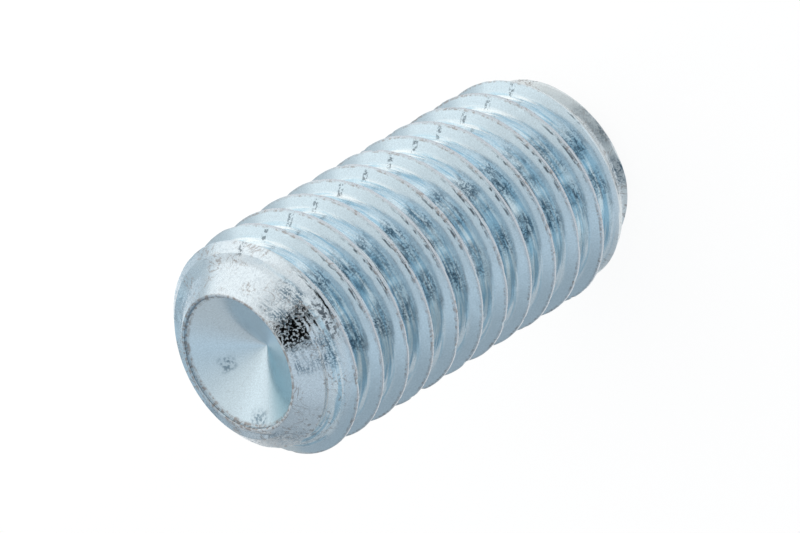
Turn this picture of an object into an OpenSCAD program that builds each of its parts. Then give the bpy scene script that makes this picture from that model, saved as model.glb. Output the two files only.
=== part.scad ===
// Hexagon socket set screw with a cup point: one solid piece of threaded steel.
// It stands on its socket end, centred on Z, with the cup point up. Sizes are in millimetres.

/* [Body] */
// Length from the socket end to the rim of the cup
screw_length = 16; // [12:0.5:60]

/* [Thread] */
// Diameter over the thread crests
thread_d = 7.92; // [7.5:0.02:12]
// Distance from one crest to the next
pitch = 1.25; // [0.75:0.05:1.75]
// Angle between the two flanks of a groove
flank_angle = 60; // [55:1:65]
// Width of the land on each crest
crest_land = 0.156; // [0.1:0.002:0.3]
// Radius at the bottom of the groove
root_radius = 0.18; // [0.08:0.01:0.25]
// Turning angle at which the groove's middle line leaves the socket end
thread_start = 263; // [0:1:360]

/* [Socket end] */
// How far the first turn stays under the crests, because rolling fills it least
lead_drop = 0.44; // [0.1:0.01:0.5]
// Width of the chamfer between the first turn and the flat end face
face_chamfer = 0.11; // [0.05:0.01:0.5]
// Height at which the crests begin to rise above the first turn
lead_height = 0.65; // [0.3:0.05:2]
// Length over which they rise to their full diameter
lead_runout = 0.75; // [0.4:0.05:3]

/* [Cup point] */
// Diameter of the rim that bites into the shaft
cup_d = 4.88; // [3:0.02:6]
// Width of the flat left on the rim
rim_land = 0.08; // [0.04:0.01:0.3]
// Depth of the short straight wall inside the rim
cup_wall = 0.16; // [0:0.02:0.5]
// Angle across the hollow cone of the cup
cup_angle = 120; // [90:1:140]
// How far under the crests the chamfer around the cup begins
shoulder_drop = 0.39; // [0.1:0.01:0.5]
// Length over which the crests rise from the shoulder to their full diameter
point_runout = 0.45; // [0.4:0.05:3]

/* [Both ends] */
// Angle between each end chamfer and the screw's axis
chamfer_angle = 45; // [35:1:60]

/* [Hexagon socket] */
// Distance across the flats
socket_af = 4.04; // [2.5:0.02:4.8]
// Depth at which the flats end
socket_depth = 5; // [2:0.1:8]
// Angle across the cone at the bottom of the socket
socket_floor_angle = 120; // [100:1:160]
// Angle across the countersink at the mouth
mouth_angle = 120; // [90:1:140]
// How far the countersink runs past the corners of the hexagon
mouth_margin = 0.12; // [0:0.01:0.3]

/* [Quality] */
// Flat steps in one turn of the thread groove
thread_steps = 40; // [24:4:48]
// Flat steps across the rounded bottom of the groove
root_steps = 3; // [2:1:4]
// Smoothness of the turned surfaces
$fn = 96; // [48:8:180]

/* [Hidden] */

crest_r = thread_d / 2;
lead_r = crest_r - lead_drop;
end_face_r = lead_r - face_chamfer;
rim_r = cup_d / 2;
shoulder_r = crest_r - shoulder_drop;
cup_mouth_r = rim_r - rim_land;
cup_cone_h = cup_mouth_r / tan(cup_angle / 2);

end_chamfer_h = (lead_r - end_face_r) / tan(chamfer_angle);
point_chamfer_h = (shoulder_r - rim_r) / tan(chamfer_angle);

// The root arc touches both flanks, so its centre lies on the groove's middle line.
half_flank = flank_angle / 2;
sharp_depth = (pitch - crest_land) / 2 / tan(half_flank);
root_centre_r = crest_r - sharp_depth + root_radius / sin(half_flank);
// The cutter stands proud of the crests, by less than makes its turns meet.
cutter_over = crest_land / 4 / tan(half_flank);
cutter_half_w = (pitch - crest_land) / 2 + cutter_over * tan(half_flank);
cutter_turns = screw_length / pitch + 2;

socket_corner_r = socket_af / 2 / cos(30);
mouth_r = socket_corner_r + mouth_margin;
mouth_h = mouth_r / tan(mouth_angle / 2);
socket_floor_h = socket_af / 2 / tan(socket_floor_angle / 2);
// Cutters pass through the faces they open by this much.
clear = 0.01;

// The screw's outline before threading, as radius and height, with the cup hollowed from its top.
module blank_outline() {
    polygon([
        [0, 0],
        [end_face_r, 0],
        [lead_r, end_chamfer_h],
        [lead_r, lead_height],
        [crest_r, lead_height + lead_runout],
        [crest_r, screw_length - point_chamfer_h - point_runout],
        [shoulder_r, screw_length - point_chamfer_h],
        [rim_r, screw_length],
        [cup_mouth_r, screw_length],
        [cup_mouth_r, screw_length - cup_wall],
        [0, screw_length - cup_wall - cup_cone_h]
    ]);
}

// Groove section as radius and height about its middle line: flank, round root, flank.
function groove_section() = [
    [crest_r + cutter_over, -cutter_half_w],
    for (i = [0 : root_steps])
        let (a = (90 - half_flank) * (2 * i / root_steps - 1))
        [root_centre_r - root_radius * cos(a), root_radius * sin(a)],
    [crest_r + cutter_over, cutter_half_w]
];

// The section at one turning angle, carried up the right-hand helix.
function section_at(angle) = [
    for (p = groove_section())
        [p[0] * cos(angle), p[0] * sin(angle), p[1] + pitch * (angle - thread_start) / 360]
];

module thread_groove() {
    n = len(groove_section());
    rings = ceil(cutter_turns * thread_steps);
    // Half a step off the X axis, so that no corner lies where the turned surfaces close.
    points = [for (i = [0 : rings]) each section_at((i + 0.5) * 360 / thread_steps)];
    sides = [
        for (i = [0 : rings - 1], j = [0 : n - 1])
            let (a = i * n + j, b = i * n + (j + 1) % n)
            each [[a, b + n, b], [a, a + n, b + n]]
    ];
    first = [for (j = [0 : n - 1]) j];
    last = [for (j = [n - 1 : -1 : 0]) rings * n + j];
    polyhedron(points, concat(sides, [first, last]), convexity = 10);
}

module socket() {
    translate([0, 0, -clear])
        cylinder(r = socket_corner_r, h = socket_depth + clear, $fn = 6);
    translate([0, 0, socket_depth - clear])
        cylinder(r1 = socket_af / 2, r2 = 0, h = socket_floor_h);
    cylinder(r1 = mouth_r, r2 = 0, h = mouth_h);
}

module set_screw() {
    color("lightsteelblue")
        difference() {
            rotate_extrude() blank_outline();
            thread_groove();
            socket();
        }
}

set_screw();
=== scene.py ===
import math

import bmesh
import bpy
from mathutils import Matrix, Vector, noise


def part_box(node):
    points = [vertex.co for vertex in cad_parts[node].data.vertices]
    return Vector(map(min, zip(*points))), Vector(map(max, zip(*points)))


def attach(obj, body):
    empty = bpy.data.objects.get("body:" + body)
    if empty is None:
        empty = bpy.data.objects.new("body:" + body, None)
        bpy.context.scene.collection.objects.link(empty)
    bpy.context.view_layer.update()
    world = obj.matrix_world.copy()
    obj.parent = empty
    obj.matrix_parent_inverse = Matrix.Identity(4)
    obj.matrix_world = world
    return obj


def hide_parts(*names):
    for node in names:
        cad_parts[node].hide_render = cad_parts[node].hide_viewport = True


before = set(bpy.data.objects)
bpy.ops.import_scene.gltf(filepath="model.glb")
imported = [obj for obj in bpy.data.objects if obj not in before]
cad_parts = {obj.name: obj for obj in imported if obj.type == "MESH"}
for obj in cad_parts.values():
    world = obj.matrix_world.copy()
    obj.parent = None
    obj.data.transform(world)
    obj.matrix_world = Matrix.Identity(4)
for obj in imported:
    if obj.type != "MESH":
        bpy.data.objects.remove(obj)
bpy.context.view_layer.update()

# A headless set screw stands on its socket end with the cup point up.
# Shapes are worked out in millimetres and each mesh is made metres when it is finished.
mm = 0.001
screwBox = [Vector(corner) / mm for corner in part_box("set_screw")]
screwLength = screwBox[1].z - screwBox[0].z
crestRadius = (screwBox[1].x - screwBox[0].x) / 2


def unitVector(azimuth, elevation):
    # azimuth is counted from +X towards +Y, elevation from the floor
    a, e = math.radians(azimuth), math.radians(elevation)
    return Vector((math.cos(a) * math.cos(e), math.sin(a) * math.cos(e), math.sin(e)))


cameraView = {
    "azimuth": 0.0,
    "elevation": 40.46,
    "roll": -121.03,
    "distance": 242.45,   # mm
    "lens": 328.4,        # mm on a 36 mm sensor
    "aim": (0.043, -0.032, 7.949),
}


def placeCamera(view):
    back = unitVector(view["azimuth"], view["elevation"])
    level = Vector((0, 0, 1)).cross(back).normalized()
    upright = back.cross(level)
    turn = math.radians(view["roll"])
    right = level * math.cos(turn) + upright * math.sin(turn)
    up = back.cross(right)
    lensData = bpy.data.cameras.new("camera")
    lensData.lens = view["lens"]
    lensData.sensor_width = 36
    lensData.clip_start, lensData.clip_end = 0.01, 10
    camera = bpy.data.objects.new("camera", lensData)
    camera.matrix_world = Matrix((right, up, back)).transposed().to_4x4()
    camera.location = (Vector(view["aim"]) + back * view["distance"]) * mm
    bpy.context.collection.objects.link(camera)
    bpy.context.scene.camera = camera


placeCamera(cameraView)
print("camera placed")

thread = {
    "pitch": 1.25,
    "flankAngle": 30.0,      # each flank, from the plane square to the screw
    "crestLand": 0.04,
    "crestRound": 0.055,     # radius that rolling leaves on each side of a crest
    "flankBulge": 0.003,     # how far each flank swells into the groove
    "rootRadius": 0.18,
    "startAngle": 263.0,     # where the groove's middle leaves the socket end
    "stepsPerTurn": 144,
    "flankPoints": 8,
    "crestArcPoints": 4,
    "rootArcPoints": 7,
    "weld": 0.004,           # vertices of neighbouring turns closer than this become one
    # crests are never quite even: radii where that starts and is full, lump sizes per mm and heights in mm
    "uneven": (3.70, 3.93),
    "swellRate": 0.9,
    "swellHeight": 0.010,
    "dentRate": 2.3,
    "dentPlace": (7, 1, 3),
    "dentStart": 0.30,       # noise below this leaves no dent
    "dentDepth": 0.12,
}

socketEnd = {
    "faceRadius": 3.41,
    "leadRadius": 3.52,      # the first turn, which rolling fills least
    "leadHeight": 0.65,
    "leadRunout": 0.75,
    "mouthRadius": 2.45,
    "acrossFlats": 4.04,
    "depth": 5.0,
    "floorAngle": 60.0,      # half the angle of the drill point
    "mouthAngle": 60.0,      # half the angle of the countersink
    "pointsPerFlat": 10,
    "drillShare": 0.985,     # the drill point's radius over half the flats
    "tipRadius": 0.05,       # the small flat that closes the drill point
    "tipLift": 0.03,
}

cupPoint = {
    "rimRadius": 2.44,
    "rimLand": 0.08,
    "chamferAngle": 45.0,
    "wallDepth": 0.10,
    "coneAngle": 60.0,       # half the angle of the hollow cone
    "ridgeHeight": 0.27,     # how far the last turns stand above the chamfer
    "ridgeStep": (0.23, 0.29),   # where that drops to the chamfer, from the middle of the crest
    "ridgeEnds": (15.45, 15.70),
    "ridgeBlend": 0.05,      # softens the line between thread and chamfer
    "threadEnds": 15.78,     # height where the plain chamfer takes over
    "ringGap": 0.02,         # from there up to the first ring of the turned point
    "rimRound": 0.05,
    "wallFoot": 0.06,        # height of the bend between the wall and the cone
    "coneRings": 10,
    "coneTip": (0.03, 0.020, 0.012),   # radius of the last ring, and how high it and the centre stand
    "steps": 192,
}


def arcPoints(centre, radius, fromAngle, toAngle, count):
    # points on an arc in the radius and height plane
    found = []
    for i in range(count):
        a = math.radians(fromAngle + (toAngle - fromAngle) * i / (count - 1))
        found.append((centre[0] + radius * math.cos(a), centre[1] + radius * math.sin(a)))
    return found


def halfGroove(t):
    # from the middle of a crest down to the middle of the groove, as radius and distance from the groove
    slope = math.radians(t["flankAngle"])
    half = t["pitch"] / 2
    land = t["crestLand"] / 2
    bend = t["crestRound"] * math.tan((math.pi / 2 - slope) / 2)
    crestCentre = (crestRadius - t["crestRound"], half - land)
    crestArc = arcPoints(crestCentre, t["crestRound"], 0, -(90 - t["flankAngle"]), t["crestArcPoints"])
    cornerSpread = half - land - bend
    depth = cornerSpread / math.tan(slope)
    rootCentre = crestRadius - depth + t["rootRadius"] / math.sin(slope)
    rootArc = arcPoints((rootCentre, 0), t["rootRadius"], 90 + t["flankAngle"], 180, t["rootArcPoints"])
    points = [(crestRadius, half)] + crestArc
    top, bottom = crestArc[-1], rootArc[0]
    for i in range(1, t["flankPoints"]):
        share = i / t["flankPoints"]
        swell = t["flankBulge"] * 4 * share * (1 - share)
        points.append((top[0] + (bottom[0] - top[0]) * share + swell * math.sin(slope),
                       top[1] + (bottom[1] - top[1]) * share - swell * math.cos(slope)))
    return points + rootArc


def chamferRadius(z):
    return cupPoint["rimRadius"] + (screwLength - z) * math.tan(math.radians(cupPoint["chamferAngle"]))


def fade(value, start, end):
    share = min(1.0, max(0.0, (value - start) / (end - start)))
    return share * share * (3 - 2 * share)


def fromCrest(p):
    # height above the middle of the nearest crest
    t = thread
    z = p.z - t["pitch"] * (math.atan2(p.y, p.x) / math.tau - t["startAngle"] / 360 + 0.5)
    return z - t["pitch"] * round(z / t["pitch"])


def softMin(a, b, blend):
    share = min(1.0, max(0.0, 0.5 + 0.5 * (b - a) / blend))
    return b + (a - b) * share - blend * share * (1 - share)


def endedRadius(p, radius):
    # how the two ends of the blank limit the thread
    s, c = socketEnd, cupPoint
    if p.z < screwLength / 2:
        limit = min(s["faceRadius"] + max(p.z, 0), s["leadRadius"])
        if p.z > s["leadHeight"]:
            rise = min(1.0, (p.z - s["leadHeight"]) / s["leadRunout"])
            limit = s["leadRadius"] + (crestRadius - s["leadRadius"]) * math.sin(rise * math.pi / 2)
        return min(radius, limit)
    above = fromCrest(p)
    raised = c["ridgeHeight"] * (1 - fade(above, *c["ridgeStep"]))
    raised *= 1 - fade(p.z - above, *c["ridgeEnds"])
    limit = chamferRadius(p.z) + raised
    near = limit < crestRadius + 2 * c["ridgeBlend"]
    return softMin(radius, limit, c["ridgeBlend"]) if near else radius


def rolledWobble(p):
    # small dents and swells that fade out towards the root
    t = thread
    high = fade(math.hypot(p.x, p.y), *t["uneven"])
    swell = noise.noise(p * t["swellRate"]) * t["swellHeight"]
    lump = noise.noise(p * t["dentRate"] + Vector(t["dentPlace"]))
    dent = max(0.0, lump - t["dentStart"]) * t["dentDepth"]
    return high * (swell - dent)


def makeThread(bm):
    t = thread
    side = halfGroove(t)
    profile = [(r, -w) for r, w in side] + [(r, w) for r, w in reversed(side[:-1])]
    lift = -t["pitch"] * (t["startAngle"] / 360 + 1)
    corners = [bm.verts.new((r, 0, w + lift)) for r, w in profile]
    edges = [bm.edges.new(pair) for pair in zip(corners, corners[1:])]
    bmesh.ops.spin(bm, geom=corners + edges, cent=(0, 0, 0), axis=(0, 0, 1),
                   dvec=(0, 0, t["pitch"] / t["stepsPerTurn"]), angle=math.tau,
                   steps=t["stepsPerTurn"], use_merge=False, use_duplicate=False)
    oneTurn = bm.verts[:] + bm.edges[:] + bm.faces[:]
    for turn in range(1, math.ceil(screwLength / t["pitch"]) + 3):
        copied = bmesh.ops.duplicate(bm, geom=oneTurn)["geom"]
        moved = [part for part in copied if isinstance(part, bmesh.types.BMVert)]
        bmesh.ops.translate(bm, verts=moved, vec=(0, 0, t["pitch"] * turn))
    bmesh.ops.remove_doubles(bm, verts=bm.verts, dist=t["weld"])
    for v in bm.verts:
        radius = math.hypot(v.co.x, v.co.y)
        wanted = endedRadius(v.co, radius)
        v.co.xy *= (wanted + rolledWobble(v.co)) / radius


def cutRing(bm, height, keepBelow):
    # a level cut through the turns, which gives the loop that an end is joined to
    everything = bm.verts[:] + bm.edges[:] + bm.faces[:]
    cut = bmesh.ops.bisect_plane(bm, geom=everything, dist=1e-5, plane_co=(0, 0, height),
                                 plane_no=(0, 0, 1), clear_outer=keepBelow, clear_inner=not keepBelow)
    return [part for part in cut["geom_cut"] if isinstance(part, bmesh.types.BMEdge)]


def spinOutline(bm, outline, steps):
    # turns an outline given as radius and height, and returns its first loop of edges
    corners = [bm.verts.new((r, 0, z)) for r, z in outline]
    edges = [bm.edges.new(pair) for pair in zip(corners, corners[1:])]
    bmesh.ops.spin(bm, geom=corners + edges, cent=(0, 0, 0), axis=(0, 0, 1), dvec=(0, 0, 0),
                   angle=math.tau, steps=steps, use_merge=True, use_duplicate=False)
    r, z = outline[0]
    return [e for e in bm.edges
            if all(abs(v.co.z - z) < 1e-4 and abs(math.hypot(*v.co.xy) - r) < 1e-3 for v in e.verts)]


def cupOutline(c):
    # chamfer, rounded rim, and the hollow cone that blends into the rim
    lift = c["threadEnds"] + c["ringGap"]
    outline = [(chamferRadius(lift), lift)]
    edge = c["rimRound"]
    outline += arcPoints((c["rimRadius"] - edge * 0.4, screwLength - edge), edge, 45, 90, 5)
    cone = math.tan(math.radians(90 - c["coneAngle"]))
    mouth = c["rimRadius"] - c["rimLand"]
    apex = screwLength - c["wallDepth"] - mouth * cone
    outline += arcPoints((mouth + edge * 0.5, screwLength - edge), edge, 100, 140, 4)
    foot = (mouth - 0.03, apex + (mouth - 0.03) * cone)
    outline.append((mouth - 0.005, foot[1] + c["wallFoot"]))
    for i in range(c["coneRings"]):
        share = 1 - i / c["coneRings"]
        outline.append((foot[0] * share, apex + (foot[1] - apex) * share))
    tipRadius, tipLift, centreLift = c["coneTip"]
    return outline + [(tipRadius, apex + tipLift), (0, apex + centreLift)]


def closeCup(bm):
    ring = cutRing(bm, cupPoint["threadEnds"], True)
    first = spinOutline(bm, cupOutline(cupPoint), cupPoint["steps"])
    bmesh.ops.bridge_loops(bm, edges=ring + first)


def hexRadius(angle, s):
    flat = math.radians((angle % 60) - 30)
    return s["acrossFlats"] / 2 / math.cos(flat)


def closeSocket(bm):
    s = socketEnd
    ring = cutRing(bm, 0, False)
    count = 6 * s["pointsPerFlat"]
    mouth = bmesh.ops.create_circle(bm, cap_ends=False, radius=s["mouthRadius"],
                                    segments=count)["verts"]
    loop = list({e for v in mouth for e in v.link_edges})
    bmesh.ops.triangle_fill(bm, use_beauty=True, edges=ring + loop)

    def nextLoop(edges, place):
        grown = bmesh.ops.extrude_edge_only(bm, edges=edges)["geom"]
        for v in grown:
            if isinstance(v, bmesh.types.BMVert):
                angle = math.degrees(math.atan2(v.co.y, v.co.x))
                r, z = place(angle)
                v.co = (r * math.cos(math.radians(angle)), r * math.sin(math.radians(angle)), z)
        return [e for e in grown if isinstance(e, bmesh.types.BMEdge)]

    # countersink down to the hexagon, where it leaves a scallop on each flat
    slope = math.tan(math.radians(s["mouthAngle"]))
    loop = nextLoop(loop, lambda a: (hexRadius(a, s), (s["mouthRadius"] - hexRadius(a, s)) / slope))
    loop = nextLoop(loop, lambda a: (hexRadius(a, s), s["depth"]))
    # the drill point that is left under the broached flats
    drill = s["acrossFlats"] / 2
    loop = nextLoop(loop, lambda a: (drill * s["drillShare"], s["depth"]))
    tip = s["depth"] + drill / math.tan(math.radians(s["floorAngle"]))
    loop = nextLoop(loop, lambda a: (s["tipRadius"], tip - s["tipLift"]))
    bmesh.ops.contextual_create(bm, geom=loop)


def markThread(bm):
    # UV in millimetres, along the helix and across the groove, for the marks that rolling drags
    layer = bm.loops.layers.uv.new("rolling")
    pitch = thread["pitch"]
    for face in bm.faces:
        middle = face.calc_center_median()
        angle = math.atan2(middle.y, middle.x)
        turns = middle.z / pitch + thread["startAngle"] / 360 - angle / math.tau
        for loop in face.loops:
            p = loop.vert.co
            here = math.atan2(p.y, p.x)
            here += math.tau * (round((angle - here) / math.tau) + round(turns))
            across = p.z - pitch * (here / math.tau - thread["startAngle"] / 360)
            loop[layer].uv = (here * crestRadius, across)


screwBody = {
    "weld": 0.002,           # mm, closes the joins between thread and ends
    "sharpAngle": 34,        # degrees, edges that fold more than this are shaded sharp
}


def makeScrew():
    bm = bmesh.new()
    makeThread(bm)
    print("thread rolled", len(bm.faces))
    closeCup(bm)
    closeSocket(bm)
    bmesh.ops.remove_doubles(bm, verts=bm.verts, dist=screwBody["weld"])
    bmesh.ops.recalc_face_normals(bm, faces=bm.faces)
    openEdges = [e for e in bm.edges if not e.is_manifold]
    print("ends closed", len(bm.faces), "open edges", len(openEdges))
    for face in bm.faces:
        face.smooth = True
    for edge in bm.edges:
        edge.smooth = edge.calc_face_angle(0) < math.radians(screwBody["sharpAngle"])
    markThread(bm)
    bmesh.ops.scale(bm, vec=(mm, mm, mm), verts=bm.verts)
    mesh = bpy.data.meshes.new("screwBody")
    bm.to_mesh(mesh)
    bm.free()
    body = bpy.data.objects.new("screwBody", mesh)
    bpy.context.collection.objects.link(body)
    return body


def linear(hexColour):
    channels = [int(hexColour[i:i + 2], 16) / 255 for i in (1, 3, 5)]
    straight = [c / 12.92 if c <= 0.04045 else ((c + 0.055) / 1.055) ** 2.4 for c in channels]
    return (*straight, 1)


def addNode(tree, kind, settings=None, links=None):
    node = tree.nodes.new(kind)
    for name, value in (settings or {}).items():
        if isinstance(name, int) or name in node.inputs:
            node.inputs[name].default_value = value
        else:
            setattr(node, name, value)
    for name, source in (links or {}).items():
        tree.links.new(source, node.inputs[name])
    return node


zinc = {
    "colour": "#C8DBE6",
    "pointColour": "#D6E2EA",
    "shadedPoint": "#B7D2E2",
    "leadColour": "#E2E9EC",
    "grooveAndCupLightColour": "#EAF5FA",
    "grooveHighlightColour": "#EFF7FB",
    "streakColour": "#B9D8E8",
    "sideShadeColour": "#9DB2C0",
    "cupShadeColour": "#8FB9C8",
    "deepBlueColour": "#46667A",
    # turning angle where dark patches gather in the grooves, half its width in degrees, and its strength; the
    # patches at 12 and -20, facing the camera, are painted reflection of dark surroundings and the rest are
    # tarnish
    "tarnishAndReflection": [(12, 11, 0.9), (-20, 8, 0.95), (121, 12, 0.5), (204, 10, 0.6), (262, 12, 0.5)],
    "crestColour": "#C4CDD5",
    "dirtColour": "#8A7F79",
    "darkColour": "#36424D",
    "roughness": (0.09, 0.45),   # bright zinc, and its matte specks
    "grainSize": 0.09,        # mm
    "grainDepth": 0.005,      # mm
    "waveSize": 0.4,          # mm, slow unevenness of the rolled faces
    "waveDepth": 0.0012,      # mm
    "markWidth": 0.035,       # mm, lines that rolling drags along the groove
    "markLength": 1.6,        # mm
    "markDepth": 0.0045,      # mm
    "cloudSize": 0.9,         # mm, where dirt and wear gather
    "speckSize": 0.14,        # mm
    "satinSize": 0.05,        # mm, fine grain in the plating's tone
    "scuffSize": 0.9,         # mm, thin curling scuffs on the point
    "darkReflectionSize": (0.30, 0.06),     # mm along and across, the broken line under each crest
    "reflectedSpotSize": 0.13,       # mm
    "cupDarkMarkSize": 0.1,        # mm
    "streakSize": (2.2, 0.06),    # mm along and across the groove
    "grooveHighlightSize": (1.2, 0.05),
    "tarnishAndReflectionSize": 0.7,       # mm, lumps inside each patch of tarnish and of painted reflection
    "tarnishAndReflectionStreak": (0.5, 0.05),
    "tarnishAndReflectionSpeck": 0.06,     # mm
    # where each look lies: radii in mm where it begins, is full, is still full, and ends
    "bands": {
        "groove": (2.5, 2.6, 3.50, 3.68),
        "tarnishAndReflection": (2.5, 2.6, 3.50, 3.74),
        "crestEdge": (3.87, 3.915, 3.925, 3.95),
        "rim": (2.20, 2.30, 2.43, 2.48),
        "darkReflection": (3.84, 3.87, 3.90, 3.93),
        "reflectedSpot": (3.45, 3.55, 3.86, 3.90),
        "patch": (3.55, 3.62, 3.80, 3.92),
        "cupDarkMark": (0.95, 1.25, 1.4, 1.7),
        "cupDarkStreak": (1.7, 2.05, 2.2, 2.32),
    },
    # mm from none of the look to all of it, as heights from the socket end or as radii
    "edges": {
        "pointHeight": (14.6, 14.9),
        "pointInside": (2.30, 2.40),
        "pointOutside": (3.93, 3.88),
        "leadHeight": (1.15, 0.85),
        "leadInside": (2.3, 2.4),
        "grooveHeight": (15.2, 14.9),
        "cupHeight": (13, 13.4),
        "cupInside": (2.35, 2.30),
        "crest": (3.925, 3.95),
        "rimHeight": (15.5, 15.6),
    },
    # turning angle of the middle of each look, and half its width, in degrees
    "sides": {
        "shadedPoint": (150, 50),
        "grooveHighlight": (38, 18),
        "cupLit": (75, 42),
        "cupDarkMark": (174, 8),
        "cupDarkStreak": (-113, 7),
        "cupShaded": (-50, 32),
        "sideShade": (96, 12),
        "darkReflection": (7, 13),
        "reflectedSpot": (57.5, 1.2),
        "patch": (-3, 9),
    },
}


def mixed(tree, share, low, high, kind="RGBA"):
    node = addNode(tree, "ShaderNodeMix", {"data_type": kind})
    sockets = [i for i in node.inputs if i.enabled]
    for socket, value in zip(sockets, (share, low, high)):
        if isinstance(value, bpy.types.NodeSocket):
            tree.links.new(value, socket)
        else:
            socket.default_value = value
    return [o for o in node.outputs if o.enabled][0]


def spread(tree, value, low, high, toLow=0.0, toHigh=1.0):
    return addNode(tree, "ShaderNodeMapRange", {
        "interpolation_type": "SMOOTHSTEP", "From Min": low, "From Max": high,
        "To Min": toLow, "To Max": toHigh}, {"Value": value}).outputs["Result"]


def sums(tree, kind, a, b):
    node = addNode(tree, "ShaderNodeMath", {"operation": kind})
    for socket, value in zip(node.inputs, (a, b)):
        if isinstance(value, bpy.types.NodeSocket):
            tree.links.new(value, socket)
        else:
            socket.default_value = value
    return node.outputs[0]


def mottle(tree, place, size, detail=2.0, rough=0.55):
    # cloudy noise whose lumps are about this many millimetres across
    return addNode(tree, "ShaderNodeTexNoise", {
        "Scale": 1 / (size * mm), "Detail": detail, "Roughness": rough}, {"Vector": place}).outputs["Fac"]


def turned(tree, flat, angle, half):
    # one near this turning angle of the screw and nought away from it
    toward = addNode(tree, "ShaderNodeVectorMath", {
        "operation": "DOT_PRODUCT", 1: unitVector(angle, 0)}, {0: flat}).outputs["Value"]
    return spread(tree, toward, math.cos(math.radians(half * 1.8)), math.cos(math.radians(half * 0.4)))


def alongThread(tree, uv, length, width, detail=3.0):
    # noise drawn out along the thread
    stretched = addNode(tree, "ShaderNodeMapping", {
        "Scale": (1 / length, 1 / width, 1)}, {"Vector": uv}).outputs[0]
    return addNode(tree, "ShaderNodeTexNoise", {
        "Scale": 1.0, "Detail": detail}, {"Vector": stretched}).outputs["Fac"]


def tarnishAndReflectionPatches(tree, place, facing, uv, z):
    # specks and streaks in short dark patches that line up along the screw: tarnish, and where they face the
    # camera a painted reflection of dark surroundings
    patches = 0.0
    for angle, half, strength in z["tarnishAndReflection"]:
        patch = sums(tree, "MULTIPLY", turned(tree, facing, angle, half), strength)
        patches = sums(tree, "MAXIMUM", patches, patch)
    broken = spread(tree, mottle(tree, place, z["tarnishAndReflectionSize"], 1.0), 0.35, 0.6, 0.35, 1.0)
    patches = sums(tree, "MULTIPLY", patches, broken)
    fine = mottle(tree, place, z["tarnishAndReflectionSpeck"], 2.0, 0.7)
    both = sums(tree, "ADD", alongThread(tree, uv, *z["tarnishAndReflectionStreak"]), fine)
    return sums(tree, "MULTIPLY", patches, spread(tree, both, 0.90, 1.12, 0.1, 0.95))


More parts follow.
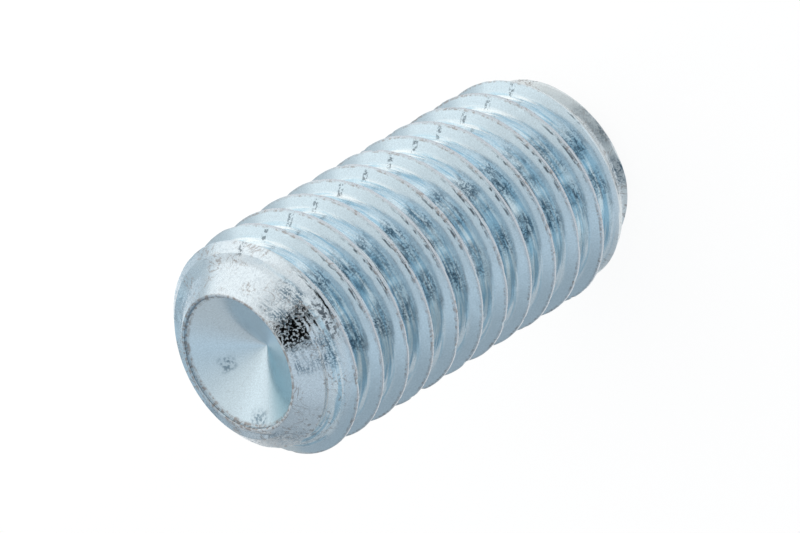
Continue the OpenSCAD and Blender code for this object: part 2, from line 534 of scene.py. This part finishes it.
def zincPlate(z):
    # steel with a thin electroplated zinc layer, blue passivated
    material = bpy.data.materials.new("bluePassivatedZinc")
    material.use_nodes = True
    tree = material.node_tree
    tree.nodes.clear()
    place = addNode(tree, "ShaderNodeTexCoord").outputs["Object"]
    height = addNode(tree, "ShaderNodeSeparateXYZ", {}, {"Vector": place}).outputs["Z"]
    flat = addNode(tree, "ShaderNodeVectorMath", {
        "operation": "MULTIPLY", 1: (1, 1, 0)}, {0: place}).outputs["Vector"]
    radius = addNode(tree, "ShaderNodeVectorMath", {"operation": "LENGTH"}, {0: flat}).outputs["Value"]
    facing = addNode(tree, "ShaderNodeVectorMath", {"operation": "NORMALIZE"}, {0: flat}).outputs["Vector"]
    uv = addNode(tree, "ShaderNodeUVMap", {"uv_map": "rolling"}).outputs["UV"]

    def times(a, b):
        return sums(tree, "MULTIPLY", a, b)

    def most(a, b):
        return sums(tree, "MAXIMUM", a, b)

    def past(value, name):
        none, full = z["edges"][name]
        return spread(tree, value, none * mm, full * mm)

    def band(name):
        inner, innerFull, outerFull, outer = z["bands"][name]
        rises = spread(tree, radius, inner * mm, innerFull * mm)
        return times(rises, spread(tree, radius, outer * mm, outerFull * mm))

    def onSide(name):
        return turned(tree, facing, *z["sides"][name])

    def tinted(share, base, name):
        return mixed(tree, share, base, linear(z[name]))

    grain = mottle(tree, place, z["grainSize"], 1.5, 0.6)
    clouds = mottle(tree, place, z["cloudSize"], 3.0)
    specks = mottle(tree, place, z["speckSize"], 3.0, 0.6)

    # where on the screw each finish lies
    nearCup = past(height, "pointHeight")
    onPoint = times(nearCup, past(radius, "pointInside"))
    onPoint = times(onPoint, past(radius, "pointOutside"))
    onLead = times(past(height, "leadHeight"), past(radius, "leadInside"))
    onPoint = most(onPoint, onLead)
    inGroove = times(band("groove"), past(height, "grooveHeight"))
    inGroove = times(inGroove, spread(tree, onLead, 1.0, 0.0))
    inCup = times(past(height, "cupHeight"), past(radius, "cupInside"))
    sloping = addNode(tree, "ShaderNodeSeparateXYZ", {}, {
        "Vector": addNode(tree, "ShaderNodeNewGeometry").outputs["Normal"]}).outputs["Z"]
    upper = spread(tree, sloping, 0.2, 0.4)
    onCrest = past(radius, "crest")
    onRim = times(band("rim"), past(height, "rimHeight"))
    rough = most(onPoint, onCrest)

    colour = tinted(onPoint, linear(z["colour"]), "pointColour")
    # painted shade: the point darker and bluer on one side
    colour = tinted(times(onPoint, onSide("shadedPoint")), colour, "shadedPoint")
    colour = tinted(onLead, colour, "leadColour")
    streaks = spread(tree, alongThread(tree, uv, *z["streakSize"]), 0.42, 0.58)
    grooveTone = tinted(streaks, linear(z["grooveAndCupLightColour"]), "streakColour")
    # painted highlight: paler streaks in the grooves on one side
    grooveHighlight = spread(tree, alongThread(tree, uv, *z["grooveHighlightSize"]), 0.40, 0.60, 0.0, 0.75)
    grooveTone = tinted(times(onSide("grooveHighlight"), grooveHighlight), grooveTone, "grooveHighlightColour")
    colour = mixed(tree, inGroove, colour, grooveTone)
    # tarnish in the grooves, and painted reflection of dark surroundings on the side facing the camera
    tarnishAndReflection = times(tarnishAndReflectionPatches(tree, place, facing, uv, z), band("tarnishAndReflection"))
    colour = tinted(tarnishAndReflection, colour, "deepBlueColour")
    colour = tinted(onCrest, colour, "crestColour")
    # painted light: the inside of the cup paler on one side
    colour = tinted(times(inCup, onSide("cupLit")), colour, "grooveAndCupLightColour")
    # darker patch and streaks inside the cup, on two sides
    cupDarkMark = times(band("cupDarkMark"), onSide("cupDarkMark"))
    cupDarkStreak = times(band("cupDarkStreak"), onSide("cupDarkStreak"))
    cupDarkMark = times(most(cupDarkMark, cupDarkStreak), inCup)
    cupDarkMark = times(cupDarkMark, spread(tree, mottle(tree, place, z["cupDarkMarkSize"], 2.0), 0.42, 0.6, 0.1, 0.7))
    colour = tinted(cupDarkMark, colour, "deepBlueColour")
    # painted shade: the inside of the cup darker and bluer on another side
    shaded = times(times(inCup, onSide("cupShaded")), 0.85)
    colour = tinted(shaded, colour, "cupShadeColour")
    # painted shade: darker down one side, outside the cup
    sideShade = times(onSide("sideShade"), spread(tree, inCup, 0, 1, 0.6, 0.0))
    colour = tinted(sideShade, colour, "sideShadeColour")
    # fine satin grain of the plating
    tone = spread(tree, mottle(tree, place, z["satinSize"], 2.0, 0.7), 0.3, 0.7, 0.86, 1.0)
    colour = addNode(tree, "ShaderNodeVectorMath", {"operation": "SCALE"}, {
        0: colour, "Scale": tone}).outputs["Vector"]

    dirt = times(spread(tree, specks, 0.54, 0.64), spread(tree, clouds, 0.46, 0.60))
    dirt = times(dirt, spread(tree, rough, 0, 1, 0.08, 0.6))
    # a scuff is where this noise passes through its middle value
    scuffs = addNode(tree, "ShaderNodeTexNoise", {
        "Scale": 1 / (z["scuffSize"] * mm), "Detail": 2.0, "Distortion": 1.2},
        {"Vector": place}).outputs["Fac"]
    scuffs = sums(tree, "ABSOLUTE", sums(tree, "SUBTRACT", scuffs, 0.5), 0)
    scuffs = times(spread(tree, scuffs, 0.012, 0.003), spread(tree, clouds, 0.44, 0.56))
    dirt = most(dirt, times(scuffs, times(onPoint, 0.55)))
    edges = times(band("crestEdge"), spread(tree, clouds, 0.38, 0.60, 0.25, 1.0))
    edges = times(most(edges, onRim), spread(tree, specks, 0.44, 0.60, 0.15, 0.75))
    colour = tinted(most(dirt, edges), colour, "dirtColour")

    # painted reflection of dark surroundings: a broken dark line under the crest on the side facing the
    # camera
    darkReflection = times(times(band("darkReflection"), upper), onSide("darkReflection"))
    darkReflection = times(darkReflection, spread(tree, alongThread(tree, uv, *z["darkReflectionSize"]), 0.45, 0.58))
    # painted reflection: a small dark spot reflected across each upper flank at the same turning angle
    reflectedSpot = times(band("reflectedSpot"), onSide("reflectedSpot"))
    reflectedSpot = times(reflectedSpot, spread(tree, mottle(tree, place, z["reflectedSpotSize"], 3.0, 0.7), 0.48, 0.56, 0.0, 0.8))
    darkReflection = most(darkReflection, reflectedSpot)
    # painted reflection: dark specks where the point meets the crests, on the side facing the camera
    patch = times(times(band("patch"), onSide("patch")), nearCup)
    darkReflection = most(darkReflection, times(patch, spread(tree, specks, 0.47, 0.56)))
    colour = tinted(times(darkReflection, 0.85), colour, "darkColour")

    # heights in metres: grain on the rough parts, drag marks in the grooves, slow waves all over
    grainDepth = z["grainDepth"] * mm
    bumps = times(grain, spread(tree, rough, 0, 1, 0.1 * grainDepth, grainDepth))
    marks = times(alongThread(tree, uv, z["markLength"], z["markWidth"]), z["markDepth"] * mm)
    bumps = sums(tree, "ADD", bumps, times(marks, inGroove))
    waves = times(mottle(tree, place, z["waveSize"], 1.0), z["waveDepth"] * mm)
    bumps = sums(tree, "ADD", bumps, waves)
    bump = addNode(tree, "ShaderNodeBump", {"Strength": 1.0, "Distance": 1.0}, {"Height": bumps})

    # flanks are evenly satin, crests and point are specked
    matte = mixed(tree, rough, 0.12, spread(tree, grain, 0.49, 0.58), "FLOAT")
    matte = most(matte, most(onRim, onLead))
    matte = most(matte, times(inCup, 0.3))
    bright, dullest = z["roughness"]
    finish = mixed(tree, matte, bright, dullest, "FLOAT")

    shader = addNode(tree, "ShaderNodeBsdfPrincipled", {"Metallic": 1.0}, {
        "Base Color": colour, "Roughness": finish, "Normal": bump.outputs["Normal"]})
    addNode(tree, "ShaderNodeOutputMaterial", {}, {"Surface": shader.outputs["BSDF"]})
    return material


screw = makeScrew()
screw.data.materials.append(zincPlate(zinc))
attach(screw, "root")
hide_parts("set_screw")
print("screw made")

studio = {
    "floorSize": 4.0,        # metres
    "floorColour": (0.15, 0.15, 0.15, 1),
    "floorGlow": 0.88,
    # the table glows most under the key side; distances are mm from the screw's axis
    "glowSteps": [
        {"azimuth": -43, "from": 11, "to": 30, "level": 0.85},
        {"azimuth": -111, "from": 13, "to": 34, "level": 0.55},
        {"azimuth": 95, "from": 0, "to": 15, "level": 1.12},
    ],
    "tentRadiance": 0.81,
    "tentColour": "#EDF7FF",
    "keyColour": "#FFFDFA",
    # direction and cosines between which the tent turns from its own colour to the key's
    "key": {"azimuth": 90, "elevation": 20, "from": -0.3, "to": 0.8},
    # direction, cosines where the lobe starts and is full, and what it adds
    "lobes": [
        {"azimuth": 85, "elevation": 35, "from": -0.25, "to": 0.75, "adds": 0.20},
        {"azimuth": 100, "elevation": 22, "from": 0.72, "to": 0.97, "adds": 0.26},
        {"azimuth": -140, "elevation": 10, "from": 0.5, "to": 0.95, "adds": -0.24},
        {"azimuth": -25, "elevation": 75, "from": 0.88, "to": 0.985, "adds": -0.12},
    ],
    # a dark opening in the tent's cloth
    "opening": {"azimuth": -2, "elevation": 48, "from": 0.940, "to": 0.982, "shade": 0.0},
}


def paleFloor(st):
    # white acrylic of a light table, lit from below and fading away from the screw
    material = bpy.data.materials.new("litAcrylic")
    material.use_nodes = True
    tree = material.node_tree
    shader = tree.nodes["Principled BSDF"]
    shader.inputs["Base Color"].default_value = st["floorColour"]
    shader.inputs["Roughness"].default_value = 0.9
    shader.inputs["Specular IOR Level"].default_value = 0.0
    shader.inputs["Emission Color"].default_value = (1, 1, 1, 1)
    place = addNode(tree, "ShaderNodeTexCoord").outputs["Object"]
    glow = st["floorGlow"]
    for step in st["glowSteps"]:
        along = addNode(tree, "ShaderNodeVectorMath", {
            "operation": "DOT_PRODUCT", 1: unitVector(step["azimuth"], 0)}, {0: place}).outputs["Value"]
        glow = sums(tree, "MULTIPLY", glow,
                    spread(tree, along, step["from"] * mm, step["to"] * mm, 1.0, step["level"]))
    tree.links.new(glow, shader.inputs["Emission Strength"])
    return material


def makeFloor():
    bm = bmesh.new()
    bmesh.ops.create_grid(bm, x_segments=1, y_segments=1, size=studio["floorSize"] / 2)
    mesh = bpy.data.meshes.new("floor")
    bm.to_mesh(mesh)
    bm.free()
    floor = bpy.data.objects.new("floor", mesh)
    bpy.context.collection.objects.link(floor)
    mesh.materials.append(paleFloor(studio))
    return floor


def makeWorld(st):
    # a round light tent, brighter on one side
    world = bpy.data.worlds.new("lightTent")
    world.use_nodes = True
    tree = world.node_tree
    background = tree.nodes["Background"]
    aim = addNode(tree, "ShaderNodeTexCoord").outputs["Generated"]

    def along(direction):
        return addNode(tree, "ShaderNodeVectorMath", {"operation": "DOT_PRODUCT", 1: direction},
                       {0: aim}).outputs["Value"]

    level = st["tentRadiance"]
    for lobe in st["lobes"]:
        facing = along(unitVector(lobe["azimuth"], lobe["elevation"]))
        level = sums(tree, "ADD", level, spread(tree, facing, lobe["from"], lobe["to"], 0, lobe["adds"]))
    gap = st["opening"]
    inside = spread(tree, along(unitVector(gap["azimuth"], gap["elevation"])), gap["from"], gap["to"])
    level = mixed(tree, inside, level, gap["shade"], "FLOAT")
    key = st["key"]
    warm = spread(tree, along(unitVector(key["azimuth"], key["elevation"])), key["from"], key["to"])
    tint = mixed(tree, warm, linear(st["tentColour"]), linear(st["keyColour"]))
    tree.links.new(tint, background.inputs["Color"])
    tree.links.new(level, background.inputs["Strength"])
    bpy.context.scene.world = world


makeFloor()
makeWorld(studio)
bpy.context.scene.view_settings.view_transform = "Standard"
print("studio set")
